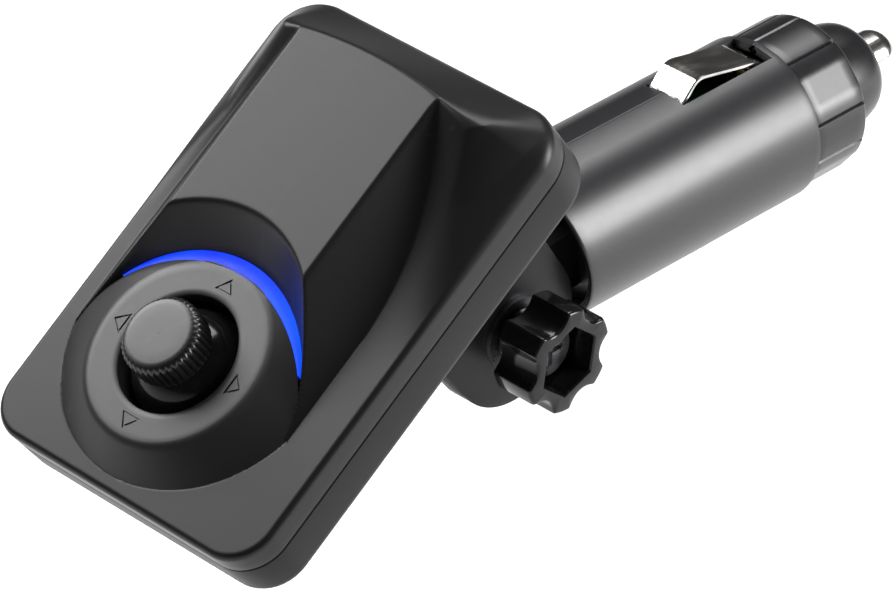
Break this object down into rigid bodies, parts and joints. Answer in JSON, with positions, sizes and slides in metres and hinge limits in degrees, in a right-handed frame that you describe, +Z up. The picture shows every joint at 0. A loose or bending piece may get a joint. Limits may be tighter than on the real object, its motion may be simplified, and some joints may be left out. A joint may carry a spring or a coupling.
{
  "type": "plug-in radar detector",
  "caption": "Radar detector with a joystick and a blue light strip on a tilting head, clamped by a star knob to a vehicle accessory-socket plug.",
  "frame": {"origin": "on the plug's axis, at the centre of its slanted rear rim", "axes": "+X across the head towards the star knob (the hinge's axis), +Y along the plug towards its nose, +Z up, away from the lower side contact"},
  "size_m": [0.0426, 0.1283, 0.0497],
  "materials": {
    "barrel_plastic": "satin, fine grain",
    "gloss_black": "glossy",
    "cover_plastic": "soft satin",
    "bezel_plastic": "satin",
    "rear_plastic": "fine texture",
    "blue_light": "lit, translucent",
    "nickel": "polished nickel",
    "brass_strip": "stamped",
    "board": "solder mask",
    "tin_can": "tinned steel",
    "steel_zinc": "zinc plated",
    "ceramic": "fired ceramic",
    "insulator": "moulded, off-white",
    "wire_skin": "smooth",
    "fuse_tube": "clear",
    "speaker_black": "moulded",
    "led_white": "clear resin"
  },
  "bodies": {
    "plug": {"barrel_left": "barrel_plastic", "barrel_right": "barrel_plastic", "nose_cap": "gloss_black", "hinge_tongue": "barrel_plastic", "fuse_sleeve": "insulator", "spring_seat": "brass_strip", "contact_strap": "brass_strip", "power_board": "board", "power_parts": "tin_can", "plug_lead": "wire_skin", "barrel_screws": "steel_zinc", "pin_spring": "steel_zinc"},
    "center_contact": {"center_pin": "nickel", "fuse_glass": "fuse_tube", "fuse_caps": "nickel"},
    "leaf_top": {"side_contact_top": "nickel"},
    "leaf_bottom": {"side_contact_bottom": "nickel"},
    "head": {"front_cover": "cover_plastic", "rear_cover": "rear_plastic", "joystick_bezel": "bezel_plastic", "light_guide": "blue_light", "main_board": "board", "receiver_module": "tin_can", "patch_antenna": "ceramic", "shield_can": "tin_can", "speaker": "speaker_black", "blue_leds": "led_white", "board_connector": "insulator", "head_lead": "wire_skin", "switch_housing": "tin_can", "press_switch": "nickel", "case_screws": "steel_zinc", "clamp_nut": "steel_zinc"},
    "gimbal": {"gimbal_ring": "nickel"},
    "carrier": {"stick_carrier": "insulator"},
    "joystick": {"stick": "steel_zinc", "knob_dome": "gloss_black", "knob_cap": "gloss_black"},
    "clamp_slider": {"clamp_washer": "steel_zinc"},
    "clamp_knob": {"clamp_screw": "steel_zinc", "thumb_knob": "gloss_black"}
  },
  "joints": [
    {"name": "head_tilt", "type": "hinge", "parent": "plug", "child": "head", "pos_m": [0, -0.0091, -0.00495], "axis": [1, 0, 0], "range_deg": [-20, 145]},
    {"name": "clamp_backoff", "type": "slide", "parent": "head", "child": "clamp_slider", "axis": [1, 0, 0], "range_m": [0, 0.0014]},
    {"name": "clamp_turn", "type": "hinge", "parent": "clamp_slider", "child": "clamp_knob", "pos_m": [0, -0.0091, -0.00495], "axis": [1, 0, 0], "range_deg": [0, 720]},
    {"name": "stick_fore_aft", "type": "hinge", "parent": "head", "child": "gimbal", "pos_m": [0, -0.05163, 0.00611], "axis": [1, 0, 0], "range_deg": [-8, 8], "stiffness_Nm_per_rad": 0.06},
    {"name": "stick_sideways", "type": "hinge", "parent": "gimbal", "child": "carrier", "pos_m": [0, -0.05163, 0.00611], "axis": [0, 0.8261, 0.5635], "range_deg": [-8, 8], "stiffness_Nm_per_rad": 0.06},
    {"name": "stick_press", "type": "slide", "parent": "carrier", "child": "joystick", "axis": [0, 0.5635, -0.8261], "range_m": [0, 0.0005], "stiffness_N_per_m": 2000, "springref_m": -0.0006},
    {"name": "center_contact_travel", "type": "slide", "parent": "plug", "child": "center_contact", "axis": [0, -1, 0], "range_m": [0, 0.0025], "stiffness_N_per_m": 1600, "springref_m": -0.002, "deforming": ["pin_spring"]},
    {"name": "leaf_top_press", "type": "hinge", "parent": "plug", "child": "leaf_top", "pos_m": [0, 0.0373, 0.0084], "axis": [1, 0, 0], "range_deg": [0, 12], "stiffness_Nm_per_rad": 0.27, "springref_deg": -1.72},
    {"name": "leaf_bottom_press", "type": "hinge", "parent": "plug", "child": "leaf_bottom", "pos_m": [0, 0.0373, -0.0084], "axis": [-1, 0, 0], "range_deg": [0, 12], "stiffness_Nm_per_rad": 0.27, "springref_deg": -1.72}
  ],
  "couplings": [
    {"joint": "clamp_turn", "follows": "clamp_backoff", "rad_per_m": 8975.9}
  ]
}
